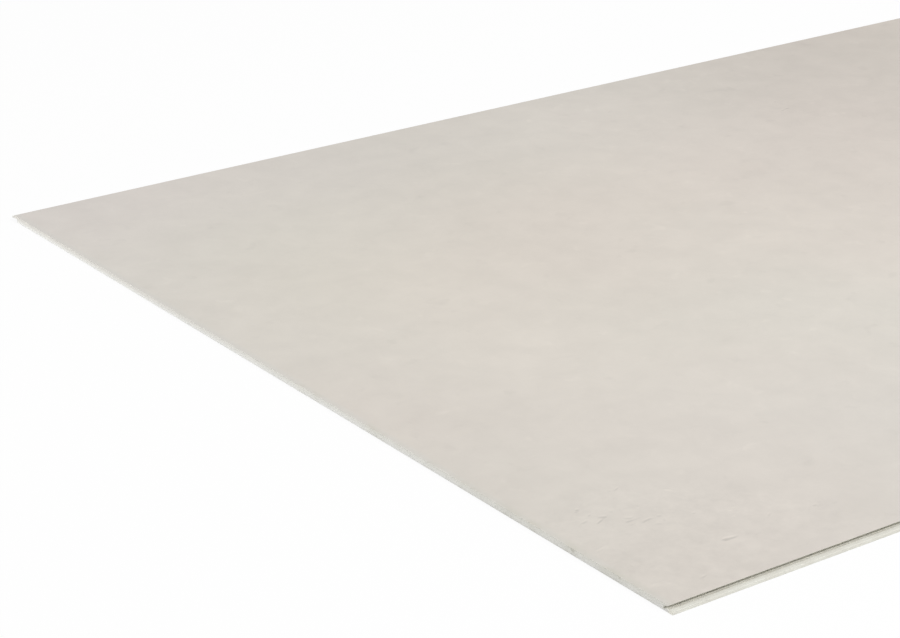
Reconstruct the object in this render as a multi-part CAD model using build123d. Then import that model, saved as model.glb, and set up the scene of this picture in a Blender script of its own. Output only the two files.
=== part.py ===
from build123d import *
import os

# One large tongue-and-groove PVC wall panel, in millimetres.
# It lies flat: the back is at Z = 0 and the printed face looks up. X runs along its length.
# The origin is on the back, under the middle of the printed face.

# The panel
LENGTH = 2600.0
COVER_WIDTH = 900.0  # width of the printed face, which is what one panel covers
THICKNESS = 5.0

# The groove under the face's near long edge. It falls as it runs inwards and is lower at its end than at
# its mouth, so that a neighbour's tongue slides down into it at a slope.
FACE_EDGE = 0.4  # thickness of the face's edge over the groove's mouth
MOUTH_HEIGHT = 1.9
GROOVE_DEPTH = 4.8
GROOVE_FALL = 1.4  # how far the groove's roof drops from its mouth to its end
GROOVE_END_HEIGHT = 2.2
LIP_REACH = 5.0  # how far the lower lip stands out past the face

# What the tongue on the far long edge leaves free in a neighbour's groove
JOINT_CLEARANCE = 0.1  # above and below the tongue in the groove's mouth
SEALANT_ROOM = 1.0  # in front of the tongue's tip
LIP_CLEARANCE = 0.2  # in front of the neighbour's lip

# Roundings
LIP_NOSE_RADIUS = 0.5
TONGUE_TIP_RADIUS = 0.4
INNER_RADIUS = 0.25  # in the ends of the groove and of the rebate
BACK_EDGE_RADIUS = 0.3

# Levels of the groove, above the back
mouth_top = THICKNESS - FACE_EDGE
lip_top = mouth_top - MOUTH_HEIGHT
groove_end_top = mouth_top - GROOVE_FALL
groove_end_bottom = groove_end_top - GROOVE_END_HEIGHT

# Places across the width
near_edge = -COVER_WIDTH / 2
far_edge = COVER_WIDTH / 2
lip_face = near_edge - LIP_REACH
groove_end = near_edge + GROOVE_DEPTH


def groove_side():
    """Corners of the near edge from the face down to the back, each as (y, z, radius)."""
    return [
        (near_edge, THICKNESS, 0),
        (near_edge, mouth_top, 0),
        (groove_end, groove_end_top, INNER_RADIUS),
        (groove_end, groove_end_bottom, INNER_RADIUS),
        (near_edge, lip_top, 0),
        (lip_face, lip_top, LIP_NOSE_RADIUS),
        (lip_face, 0, BACK_EDGE_RADIUS),
    ]


def tongue_side():
    """Corners of the far edge from the back up to the face, each as (y, z, radius).

    The tongue fills a groove's mouth less the clearances and falls with the groove's roof. It keeps its
    thickness, so that it slides in. The rebate under it takes a neighbour's lip.
    """
    reach = GROOVE_DEPTH - SEALANT_ROOM
    fall = GROOVE_FALL * reach / GROOVE_DEPTH
    roof = mouth_top - JOINT_CLEARANCE
    floor = lip_top + JOINT_CLEARANCE
    tip_top = roof - fall
    tip_bottom = floor - fall
    tip = far_edge + reach
    rebate_wall = far_edge - LIP_REACH - LIP_CLEARANCE
    return [
        (rebate_wall, 0, BACK_EDGE_RADIUS),
        (rebate_wall, floor, INNER_RADIUS),
        (far_edge, floor, 0),
        (tip, tip_bottom, TONGUE_TIP_RADIUS),
        (tip, tip_top, TONGUE_TIP_RADIUS),
        (far_edge, roof, 0),
        (far_edge, THICKNESS, 0),
    ]


def cross_section():
    """The panel's section in the plane X = 0, with its corners rounded."""
    corners = groove_side() + tongue_side()
    with BuildSketch(Plane.YZ) as section:
        with BuildLine():
            Polyline(*[(y, z) for y, z, radius in corners], close=True)
        make_face()
        for y, z, radius in corners:
            if radius:
                corner = section.vertices().sort_by_distance(Vector(y, z))[0]
                fillet(corner, radius)
    return section.sketch


def wall_panel():
    """The whole panel: one extruded board, cut square at both ends."""
    return extrude(cross_section(), amount=LENGTH / 2, both=True)


os.makedirs("parts", exist_ok=True)
panel = wall_panel()
panel.label = "wall_panel"
export_step(panel, "parts/wall_panel.step")
print("wall_panel", round(panel.volume), "mm3, box", panel.bounding_box().min, panel.bounding_box().max)
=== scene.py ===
import math
from typing import NamedTuple

import bmesh
import bpy
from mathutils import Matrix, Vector


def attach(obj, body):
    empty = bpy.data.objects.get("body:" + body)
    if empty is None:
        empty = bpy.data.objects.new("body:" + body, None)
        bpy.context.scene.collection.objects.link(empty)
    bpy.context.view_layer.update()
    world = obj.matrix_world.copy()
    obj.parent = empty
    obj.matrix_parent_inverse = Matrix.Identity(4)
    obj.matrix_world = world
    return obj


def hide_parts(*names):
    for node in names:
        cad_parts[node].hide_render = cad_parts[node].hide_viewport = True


# One PVC wall panel, lying flat with its printed face up. Lengths are in metres unless a name says
# otherwise, and colours are as on screen, from 0 to 255.

MM = 0.001
NODE = "wall_panel"

# The photograph's camera, in the panel's own frame
IMAGE_WIDTH_PX = 900
FOCAL_LENGTH_PX = 2653.8
SENSOR_WIDTH_MM = 36.0
CAMERA_PLACE = (-2.29115, -1.5814, 0.81291)
CAMERA_PITCH_DOWN = math.radians(22.179)
CAMERA_TURN_RIGHT = math.radians(35.912)  # from the panel's +Y towards its +X
CAMERA_NEAREST = 0.05  # what is nearer isn't seen
CAMERA_FARTHEST = 200.0  # nor what is farther

# The board's mesh
ARRIS = 0.12 * MM  # easing of the board's sharp edges
ARRIS_STEPS = 2
ARRIS_PROFILE = 0.5  # round
SHARP_TURN = math.radians(60)  # edges that turn more than this are eased
FLAT_TURN = math.radians(0.2)  # edges that turn less than this are taken out
CREASE_TURN = math.radians(25)  # edges that turn more than this are shaded as creases
WELD_DISTANCE = 0.001 * MM
FACE_TOLERANCE = ARRIS / 4  # how far below the top the printed face's corners may lie
END_NORMAL = 0.9  # how squarely the ends look along the panel, at the least
PRINT, SKIN, END = range(3)  # the order of the board's materials


class Mark(NamedTuple):
    """A kind of mark in a surface, made from noise."""

    strength: float  # the change of tone from the noise's darkest to its lightest
    scale: float  # marks for each metre
    detail: float
    roughness: float
    place: tuple = (0, 0, 0)  # where in the noise the panel lies
    distortion: float = 0.3
    stretch: tuple = (1, 1, 1)  # a value below 1 makes the marks longer along its axis


# A noise that is no mark is used as it is, from 0 to 1, and given as its scale, detail and
# roughness. Limits are the values of a noise between which something fades in.

# The print
PRINT_COLOUR = (211.1, 205.0, 196.8)
# Broad clouds: partly the print's own tone and partly painted shade, the light's falloff over the
# face put in as dark clouds
CLOUDS_AND_PAINTED_SHADE = Mark(-0.48, 0.9, 2.0, 0.45, (52.80, 35.27, 0))
BLOTCHES = Mark(0.09, 3.0, 2.0, 0.5, (7.60, 27.73, 0))
PATCHES = Mark(-0.057, 7.0, 3.0, 0.55, (17.30, 12.99, 0))
MOTTLE = Mark(0.15, 30.0, 4.0, 0.62, (3.10, 5.70, 0))
GRAIN = Mark(0.02, 420.0, 3.0, 0.6, (0.30, 0.90, 0))
PINK_TINT = Mark(0.12, 1.5, 2.0, 0.45, (2.72, 23.53, 0))
STRAW_TINT = Mark(-0.13, 1.1, 2.0, 0.45, (23.96, 38.89, 0))

# Spots in the print, which are the highest and the lowest places of a noise. Their limits are how
# far from its middle the noise is at a spot's rim and at its core.
SPECKS = Mark(1.0, 45.0, 2.0, 0.5, (6.0, 1.0, 0))
SPECK_LIMITS = (0.13, 0.29)
SPECK_LIGHTNESS = 0.045
PITS = Mark(1.0, 90.0, 2.0, 0.6, (1.3884, 3.3000, 0), 0.4, (0.6, 1, 1))
PIT_LIMITS = (0.175, 0.29)
PIT_DARKNESS = -0.17
FLECK_SHARE = 0.4  # how strong the light flecks are beside the dark pits
PIT_RIM_SHIFT = (1.0 * MM, 2.2 * MM)  # from a pit to its rim, after the stretch
PIT_RIM_LIGHTNESS = 0.07
PIT_SMUDGES = Mark(-0.17, 100.0, 3.0, 0.6, (1.70, 8.20, 0))
PIT_GROUPS = Mark(1.0, 3.0, 2.0, 0.5, (38.08, 21.61, 0))  # the few places where pits gather
PIT_GROUP_LIMITS = (0.12, 0.22)
LONE_PIT_SHARE = 0.10  # how strong the pits outside those places are

# Small marks on the face along its edge over the groove
EDGE_MARKS = Mark(0.2, 160.0, 2.0, 0.6, (2.0, 7.0, 0), 0.0, (1, 0.3, 1))
EDGE_MARKS_REACH = 4.0 * MM

# The lacquer over the print
LACQUER = (520.0, 3.0, 0.6)
LACQUER_LIMITS = (0.3, 0.7)
LACQUER_ROUGHNESS = (0.5, 0.58)
LACQUER_RELIEF = 0.015 * MM
LACQUER_SPECULAR = 0.3

# The board's own PVC where the die leaves it, with streaks along the panel and dull patches
SKIN_COLOUR = (229, 228.5, 219.5)
SKIN_ROUGHNESS = 0.55
SKIN_RELIEF = 0.02 * MM
SKIN_SPECULAR = 0.3
STREAKS = (900.0, 2.0, 0.5)
STREAK_STRETCH = (0.02, 1.0, 1.0)
STREAK_LIMITS = (0.3, 0.7)
STREAK_SHARE = 0.6
STREAK_COLOUR = (223, 222, 212.5)
DULLNESS = (60.0, 4.0, 0.6)
DULL_LIMITS = (0.35, 0.65)
DULL_SHARE = 0.6
DULL_COLOUR = (219, 216, 206)

# Painted shade on the lip beside the groove, under the face's overhang, and painted light inside it.
# A band is given by where its change starts and where it ends, inwards from the face's near long
# edge.
LIP_PAINTED_SHADE_NOISE = (90.0, 3.0, 0.6)
LIP_PAINTED_SHADE_PLACE = (3.0, 1.0, 0)
LIP_PAINTED_SHADE_LIMITS = (0.35, 0.65)
LIP_PAINTED_SHADE_SHARES = (0.6, 1.0)
LIP_PAINTED_SHADE_BAND = (-1.9 * MM, -0.6 * MM)
LIP_PAINTED_SHADE_COLOUR = (193, 189, 179)
# Painted light inside the groove, lighter than the PVC's own colour, against the groove's shade
GROOVE_PAINTED_LIGHT_BAND = (-0.1 * MM, 0.3 * MM)
GROOVE_PAINTED_LIGHT_SHARE = 0.9
GROOVE_PAINTED_LIGHT_COLOUR = (244, 243, 236)

# The sawn ends, with upright saw marks in the PVC's fine cells
# Darker at the top and lighter at the foot: painted light, the floor's bounce on the lower part of
# an end
END_TOP_COLOUR = (219, 217, 209)
END_FOOT_BOUNCE_LIGHT_COLOUR = (234, 233.5, 230)
END_LIP_COLOUR = (235, 233, 222)
END_LIP_BAND = (-1.5 * MM, 1.0 * MM)
END_ROUGHNESS = 0.7
END_RELIEF = 0.015 * MM
END_SPECULAR = 0.2
FOAM = (1600.0, 3.0, 0.6)
CELLS = Mark(0.03, *FOAM, distortion=0.0)
SAW_MARKS = Mark(0.05, 700.0, 2.0, 0.5, distortion=0.0, stretch=(1, 1, 0.05))
SMEARS = Mark(0.12, 30.0, 3.0, 0.6, (4.0, 2.0, 0))

# The chips that the saw leaves in an end, in a line a little below its top edge
CHIP_LINE = Mark(1.15, 100.0, 3.0, 0.55, (0.942, 2.618, 0), 0.0, (0, 1, 0))
CHIP_MIDDLE = 0.5  # the value that the line changes around
CHIP_LIMITS = (0.70, 0.78)
CHIP_SLANT = -0.35  # the change of the line's value for each metre along Y
CHIP_SLOPE = 70.0  # how fast a chip ends, for each metre away from the line
CHIP_DROP = 1.1 * MM
CHIP_COLOUR = (160, 157, 142)
CHIP_SHARE_ON_FACE = 0.2
CHIP_SHARE_ON_END = 0.35

# The greying of the face along an end
GREYING_REACH = 8.0 * MM
GREYING = 0.65
GREYED_COLOUR = (214, 212, 206)

# The wear that handling leaves along an end
WEAR = Mark(1.0, 28.0, 4.0, 0.6, (5.0, 3.0, 0))
WEAR_LIMITS = (0.0, 0.35)
WEAR_SLANT = -0.5  # the change of its value for each metre along Y
WEAR_SHARES = (0.5, 0.33)  # at an end's foot and at its top
WORN_COLOUR = (199, 196, 182)

# The print's stain on an end's upper half, which is stronger towards the far long edge
STAIN = 0.42
STAIN_RISE = (0.2, 0.8)  # where up the end it starts and is full, as shares of the thickness
STAIN_RANGE = (-0.1, 0.3)  # where along Y it starts and is full
STAIN_COLOUR = (206, 201, 196)

BUMP_STRENGTH = 0.5

# Light: the sky and the lamps together light the face at about 1, so a colour renders as it is
# written
WHITE = (1, 1, 1, 1)
SKY_STRENGTH = 0.5
KEY_PLACE = (0.4, -2.0, 3.2)
KEY_SIZE = 2.6
KEY_WATTS = 99.0
FILL_PLACE = (-2.6, 0.7, 0.22)
FILL_SIZE = 0.35
FILL_WATTS = 7.3

# The floor
FLOOR_REACH = 40.0
FLOOR_DROP = 0.05 * MM  # keeps the floor clear of the board's back
FLOOR_COLOUR = (252, 252, 252)
FLOOR_LIFT = 0.92  # how much of the floor's look to the camera is its own plain white


def colour(red, green, blue):
    """A colour on screen, from 0 to 255, as the linear colour that shaders take.

    The numbers in it are the sRGB standard's own.
    """
    linear = []
    for level in (red / 255, green / 255, blue / 255):
        linear.append(level / 12.92 if level <= 0.04045 else ((level + 0.055) / 1.055) ** 2.4)
    return (*linear, 1.0)


class Shader:
    """The node tree of a material or a world, with a method for each thing that is built in one."""

    def __init__(self, owner):
        owner.use_nodes = True
        self.owner = owner
        self.tree = owner.node_tree
        self.tree.nodes.clear()

    def node(self, kind, inputs=None, **settings):
        made = self.tree.nodes.new("ShaderNode" + kind)
        for name, value in settings.items():
            setattr(made, name, value)
        for name, value in (inputs or {}).items():
            self.feed(made.inputs[name], value)
        return made

    def feed(self, socket, value):
        if isinstance(value, bpy.types.NodeSocket):
            self.tree.links.new(value, socket)
        else:
            socket.default_value = value

    def place(self, move=(0, 0, 0), stretch=(1, 1, 1)):
        """The place in the panel's own frame, squeezed along each axis by stretch and then moved."""
        where = self.node("TexCoord").outputs["Object"]
        inputs = {"Vector": where, "Location": move, "Scale": stretch}
        return self.node("Mapping", inputs).outputs["Vector"]

    def axes(self):
        """The place's X, Y and Z, each as a value."""
        where = self.node("TexCoord").outputs["Object"]
        return self.node("SeparateXYZ", {"Vector": where}).outputs

    def noise(self, where, scale, detail, roughness, distortion=0.0):
        inputs = {
            "Vector": where,
            "Scale": scale,
            "Detail": detail,
            "Roughness": roughness,
            "Distortion": distortion,
        }
        return self.node("TexNoise", inputs).outputs["Fac"]

    def mark(self, mark):
        """A mark as a signed change around 0."""
        where = self.place(mark.place, mark.stretch)
        value = self.noise(where, mark.scale, mark.detail, mark.roughness, mark.distortion)
        return self.math("MULTIPLY_ADD", value, mark.strength, -mark.strength / 2)

    def tone(self, marks):
        """1 and the changes of all the marks together."""
        total = 1.0
        for mark in marks:
            total = self.math("ADD", self.mark(mark), total)
        return total

    def math(self, operation, first, second=0.0, third=0.0):
        made = self.node("Math", operation=operation)
        for socket, value in zip(made.inputs, (first, second, third)):
            self.feed(socket, value)
        return made.outputs[0]

    def remap(self, value, low, high, to_low=0.0, to_high=1.0, smooth=True):
        inputs = {
            "Value": value,
            "From Min": low,
            "From Max": high,
            "To Min": to_low,
            "To Max": to_high,
        }
        kind = "SMOOTHSTEP" if smooth else "LINEAR"
        return self.node("MapRange", inputs, interpolation_type=kind, clamp=True).outputs["Result"]

    def band(self, near_face, band, to_low=0.0, to_high=1.0):
        """A value that changes over a band, measured inwards from the face's near long edge."""
        start, end = band
        return self.remap(self.axes()["Y"], near_face + start, near_face + end, to_low, to_high)

    def mix(self, factor, first, second, blend="MIX"):
        """Two colours mixed. A Mix node's sockets share their names, so numbers tell them apart."""
        made = self.node("Mix", data_type="RGBA", blend_type=blend)
        for socket, value in ((0, factor), (6, first), (7, second)):
            self.feed(made.inputs[socket], value)
        return made.outputs[2]

    def cover(self, base, over, share):
        """The base with this share of a colour over it."""
        return self.mix(share, base, colour(*over))

    def seen_directly(self):
        """1 for what the camera sees, also by gloss and glass, and 0 for the light on surfaces."""
        path = self.node("LightPath").outputs
        seen = self.math("MAXIMUM", path["Is Camera Ray"], path["Is Glossy Ray"])
        return self.math("MAXIMUM", seen, path["Is Transmission Ray"])

    def plastic(self, base, roughness, height, depth, specular):
        """The whole material: base is its colour and height its relief, which is depth deep."""
        bump = self.node("Bump", {"Height": height, "Strength": BUMP_STRENGTH, "Distance": depth})
        inputs = {
            "Base Color": base,
            "Roughness": roughness,
            "Normal": bump.outputs["Normal"],
            "Specular IOR Level": specular,
        }
        return self.surface(self.node("BsdfPrincipled", inputs).outputs["BSDF"])

    def surface(self, shading):
        self.node("OutputMaterial", {"Surface": shading})
        return self.owner


def spots(shader, mark, limits, lowest=-1.0):
    """1 in a mark's highest places, 0 in most of it and the value lowest in its lowest places."""
    rim, core = limits
    value = shader.mark(mark)
    high = shader.remap(value, rim, core)
    low = shader.remap(value, -core, -rim, lowest, 0.0)
    return shader.math("ADD", high, low)


def pits(shader):
    """The change of tone in small pits and flecks, each with a rim on one side."""
    cores = spots(shader, PITS, PIT_LIMITS, -FLECK_SHARE)
    dark = shader.math("MULTIPLY", cores, PIT_DARKNESS)
    shifted = (PITS.place[0] - PIT_RIM_SHIFT[0], PITS.place[1] - PIT_RIM_SHIFT[1], 0)
    rims = spots(shader, PITS._replace(place=shifted), PIT_LIMITS, -FLECK_SHARE)
    return shader.math("MULTIPLY_ADD", rims, PIT_RIM_LIGHTNESS, dark)


def chips(shader, away):
    """1 in the saw's chips and 0 elsewhere, where away is the distance from the line they lie on.

    They are denser towards the near long edge.
    """
    line = shader.math("ADD", shader.mark(CHIP_LINE), CHIP_MIDDLE)
    slanted = shader.math("MULTIPLY_ADD", shader.axes()["Y"], CHIP_SLANT, line)
    value = shader.math("MULTIPLY_ADD", away, -CHIP_SLOPE, slanted)
    return shader.remap(value, *CHIP_LIMITS)


def wear(shader):
    """How much handling has worn an end, from 0 to 1, more towards the near long edge."""
    worn = shader.math("MULTIPLY_ADD", shader.axes()["Y"], WEAR_SLANT, shader.mark(WEAR))
    return shader.remap(worn, *WEAR_LIMITS)


def stone_print(half_length, near_face):
    """The face: a soft beige stone-look print under a satin lacquer."""
    shader = Shader(bpy.data.materials.new("stone_print"))

    tone = shader.tone((CLOUDS_AND_PAINTED_SHADE, BLOTCHES, PATCHES, MOTTLE, GRAIN))
    specks = spots(shader, SPECKS, SPECK_LIMITS)
    tone = shader.math("MULTIPLY_ADD", specks, SPECK_LIGHTNESS, tone)
    groups = shader.remap(shader.mark(PIT_GROUPS), *PIT_GROUP_LIMITS, LONE_PIT_SHARE, 1.0)
    relief = shader.math("ADD", pits(shader), shader.mark(PIT_SMUDGES))
    tone = shader.math("MULTIPLY_ADD", relief, groups, tone)
    beside_edge = shader.band(near_face, (0.0, EDGE_MARKS_REACH), 1.0, 0.0)
    tone = shader.math("MULTIPLY_ADD", shader.mark(EDGE_MARKS), beside_edge, tone)

    channels = {
        "Red": shader.math("ADD", tone, shader.mark(PINK_TINT)),
        "Green": tone,
        "Blue": shader.math("SUBTRACT", tone, shader.mark(STRAW_TINT)),
    }
    shade = shader.node("CombineColor", channels).outputs["Color"]
    base = shader.mix(1.0, colour(*PRINT_COLOUR), shade, "MULTIPLY")

    from_middle = shader.math("ABSOLUTE", shader.axes()["X"])
    from_end = shader.math("SUBTRACT", half_length, from_middle)
    greyed = shader.cover(colour(*GREYED_COLOUR), WORN_COLOUR, wear(shader))
    base = shader.mix(shader.remap(from_end, 0.0, GREYING_REACH, GREYING, 0.0), base, greyed)
    chipped = chips(shader, shader.math("ADD", from_end, CHIP_DROP))
    base = shader.cover(base, CHIP_COLOUR, shader.math("MULTIPLY", chipped, CHIP_SHARE_ON_FACE))

    lacquer = shader.noise(shader.place(), *LACQUER)
    roughness = shader.remap(lacquer, *LACQUER_LIMITS, *LACQUER_ROUGHNESS, smooth=False)
    return shader.plastic(base, roughness, lacquer, LACQUER_RELIEF, LACQUER_SPECULAR)


def pvc_skin(near_face):
    """The board's own pale PVC as it leaves the die, on the joints and the back, with painted shade
    on the lip beside the groove and painted light inside the groove.
    """
    shader = Shader(bpy.data.materials.new("pvc_skin"))

    streaks = shader.noise(shader.place(stretch=STREAK_STRETCH), *STREAKS)
    streaked = shader.remap(streaks, *STREAK_LIMITS, 0.0, STREAK_SHARE)
    base = shader.cover(colour(*SKIN_COLOUR), STREAK_COLOUR, streaked)
    dull = shader.remap(shader.noise(shader.place(), *DULLNESS), *DULL_LIMITS, 0.0, DULL_SHARE)
    base = shader.cover(base, DULL_COLOUR, dull)

    # Painted shade, uneven, on the lip just outside the groove's mouth, darker nearer the mouth
    lip_shade_noise = shader.noise(shader.place(LIP_PAINTED_SHADE_PLACE), *LIP_PAINTED_SHADE_NOISE)
    uneven = shader.remap(lip_shade_noise, *LIP_PAINTED_SHADE_LIMITS, *LIP_PAINTED_SHADE_SHARES)
    beside_groove = shader.band(near_face, LIP_PAINTED_SHADE_BAND)
    base = shader.cover(base, LIP_PAINTED_SHADE_COLOUR, shader.math("MULTIPLY", beside_groove, uneven))
    # Painted light inside the groove, lighter than the PVC's own colour
    groove_painted_light = shader.band(near_face, GROOVE_PAINTED_LIGHT_BAND, 0.0, GROOVE_PAINTED_LIGHT_SHARE)
    base = shader.cover(base, GROOVE_PAINTED_LIGHT_COLOUR, groove_painted_light)
    return shader.plastic(base, SKIN_ROUGHNESS, streaks, SKIN_RELIEF, SKIN_SPECULAR)


def sawn_end(top, near_face):
    """The board's ends, greyer and stained under the print, pale on the lip, and lighter towards the
    foot with painted light from the floor's bounce.
    """
    shader = Shader(bpy.data.materials.new("sawn_end"))

    z = shader.axes()["Z"]
    # Lighter towards the foot: painted light from the floor's bounce
    height = shader.remap(z, 0.0, top, smooth=False)
    base = shader.cover(colour(*END_FOOT_BOUNCE_LIGHT_COLOUR), END_TOP_COLOUR, height)
    worn_share = shader.remap(z, 0.0, top, *WEAR_SHARES, smooth=False)
    base = shader.cover(base, WORN_COLOUR, shader.math("MULTIPLY", wear(shader), worn_share))
    low, high = STAIN_RISE
    upper = shader.remap(z, low * top, high * top)
    farther = shader.remap(shader.axes()["Y"], *STAIN_RANGE, 0.0, STAIN)
    base = shader.cover(base, STAIN_COLOUR, shader.math("MULTIPLY", upper, farther))
    lip = shader.band(near_face, END_LIP_BAND, 1.0, 0.0)
    base = shader.cover(base, END_LIP_COLOUR, lip)
    base = shader.mix(1.0, base, shader.tone((CELLS, SAW_MARKS, SMEARS)), "MULTIPLY")

    away = shader.math("ABSOLUTE", shader.math("SUBTRACT", top - CHIP_DROP, z))
    chipped = shader.math("MULTIPLY", chips(shader, away), CHIP_SHARE_ON_END)
    base = shader.cover(base, CHIP_COLOUR, chipped)
    foam = shader.noise(shader.place(), *FOAM)
    return shader.plastic(base, END_ROUGHNESS, foam, END_RELIEF, END_SPECULAR)


def ease(shape):
    """Rounds the board's sharp edges, but for those on the floor."""
    sharp = []
    for edge in shape.edges:
        on_floor = all(vertex.co.z < WELD_DISTANCE for vertex in edge.verts)
        outer = len(edge.link_faces) == 2 and edge.calc_face_angle_signed() > SHARP_TURN
        if outer and not on_floor:
            sharp.append(edge)
    bmesh.ops.bevel(
        shape,
        geom=sharp,
        offset=ARRIS,
        segments=ARRIS_STEPS,
        profile=ARRIS_PROFILE,
        affect="EDGES",
        clamp_overlap=True,
    )


def board(node):
    """The board as one mesh: the frame's shape with its sharp edges eased."""
    mesh = node.data.copy()
    mesh.name = "board"
    mesh.materials.clear()
    end = max(vertex.co.x for vertex in mesh.vertices)
    top = max(vertex.co.z for vertex in mesh.vertices)
    near_face = min(vertex.co.y for vertex in mesh.vertices if vertex.co.z > top - ARRIS)
    for material in (stone_print(end, near_face), pvc_skin(near_face), sawn_end(top, near_face)):
        mesh.materials.append(material)

    shape = bmesh.new()
    shape.from_mesh(mesh)
    bmesh.ops.remove_doubles(shape, verts=shape.verts[:], dist=WELD_DISTANCE)
    bmesh.ops.dissolve_limit(
        shape, angle_limit=FLAT_TURN, verts=shape.verts[:], edges=shape.edges[:])
    ease(shape)
    for face in shape.faces:
        if all(vertex.co.z > top - FACE_TOLERANCE for vertex in face.verts):
            face.material_index = PRINT
        elif abs(face.normal.x) > END_NORMAL:
            face.material_index = END
        else:
            face.material_index = SKIN
        face.smooth = True
    shape.to_mesh(mesh)
    shape.free()

    piece = bpy.data.objects.new("board", mesh)
    bpy.context.scene.collection.objects.link(piece)
    mesh.set_sharp_from_angle(angle=CREASE_TURN)
    return piece


def floor():
    """A plain white floor that keeps the board's shadow."""
    shader = Shader(bpy.data.materials.new("floor_white"))
    matte = shader.node("BsdfDiffuse", {"Color": colour(*FLOOR_COLOUR)})
    white = shader.node("Emission", {"Color": WHITE, "Strength": 1.0})
    lift = shader.math("MULTIPLY", shader.seen_directly(), FLOOR_LIFT)
    look = shader.node("MixShader", {0: lift, 1: matte.outputs[0], 2: white.outputs[0]})

    mesh = bpy.data.meshes.new("floor")
    corners = []
    for x, y in ((-1, -1), (1, -1), (1, 1), (-1, 1)):
        corners.append((x * FLOOR_REACH, y * FLOOR_REACH, -FLOOR_DROP))
    mesh.from_pydata(corners, [], [(0, 1, 2, 3)])
    mesh.materials.append(shader.surface(look.outputs[0]))
    plane = bpy.data.objects.new("floor", mesh)
    bpy.context.scene.collection.objects.link(plane)


def sky():
    """Soft even light from all round. To the camera it is plain white, which is a strength of 1."""
    world = bpy.data.worlds.new("studio")
    bpy.context.scene.world = world
    shader = Shader(world)
    strength = shader.remap(shader.seen_directly(), 0.0, 1.0, SKY_STRENGTH, 1.0, smooth=False)
    light = shader.node("Background", {"Color": WHITE, "Strength": strength})
    shader.node("OutputWorld", {"Surface": light.outputs[0]})


def lamp(name, place, size, watts):
    """A square soft lamp that faces the panel's middle."""
    data = bpy.data.lights.new(name, "AREA")
    data.shape = "SQUARE"
    data.size = size
    data.energy = watts
    made = bpy.data.objects.new(name, data)
    made.location = place
    made.rotation_euler = (-Vector(place)).to_track_quat("-Z", "Y").to_euler()
    made.visible_camera = False
    bpy.context.scene.collection.objects.link(made)


def camera():
    """The photograph's camera."""
    data = bpy.data.cameras.new("camera")
    data.sensor_width = SENSOR_WIDTH_MM
    data.lens = FOCAL_LENGTH_PX * SENSOR_WIDTH_MM / IMAGE_WIDTH_PX
    data.clip_start = CAMERA_NEAREST
    data.clip_end = CAMERA_FARTHEST
    made = bpy.data.objects.new("camera", data)
    made.location = CAMERA_PLACE
    made.rotation_euler = (math.pi / 2 - CAMERA_PITCH_DOWN, 0, -CAMERA_TURN_RIGHT)
    bpy.context.scene.collection.objects.link(made)
    bpy.context.scene.camera = made


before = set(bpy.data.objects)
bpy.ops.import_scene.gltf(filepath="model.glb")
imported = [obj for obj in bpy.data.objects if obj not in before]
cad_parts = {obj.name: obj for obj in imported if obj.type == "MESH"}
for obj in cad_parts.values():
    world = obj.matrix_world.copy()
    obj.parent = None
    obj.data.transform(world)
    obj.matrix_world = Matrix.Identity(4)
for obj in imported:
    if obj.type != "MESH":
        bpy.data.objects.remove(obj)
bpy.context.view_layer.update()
bpy.context.scene.view_settings.view_transform = "Standard"

panel = board(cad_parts[NODE])
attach(panel, "root")
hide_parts(NODE)

floor()
sky()
lamp("key", KEY_PLACE, KEY_SIZE, KEY_WATTS)
lamp("fill", FILL_PLACE, FILL_SIZE, FILL_WATTS)
camera()
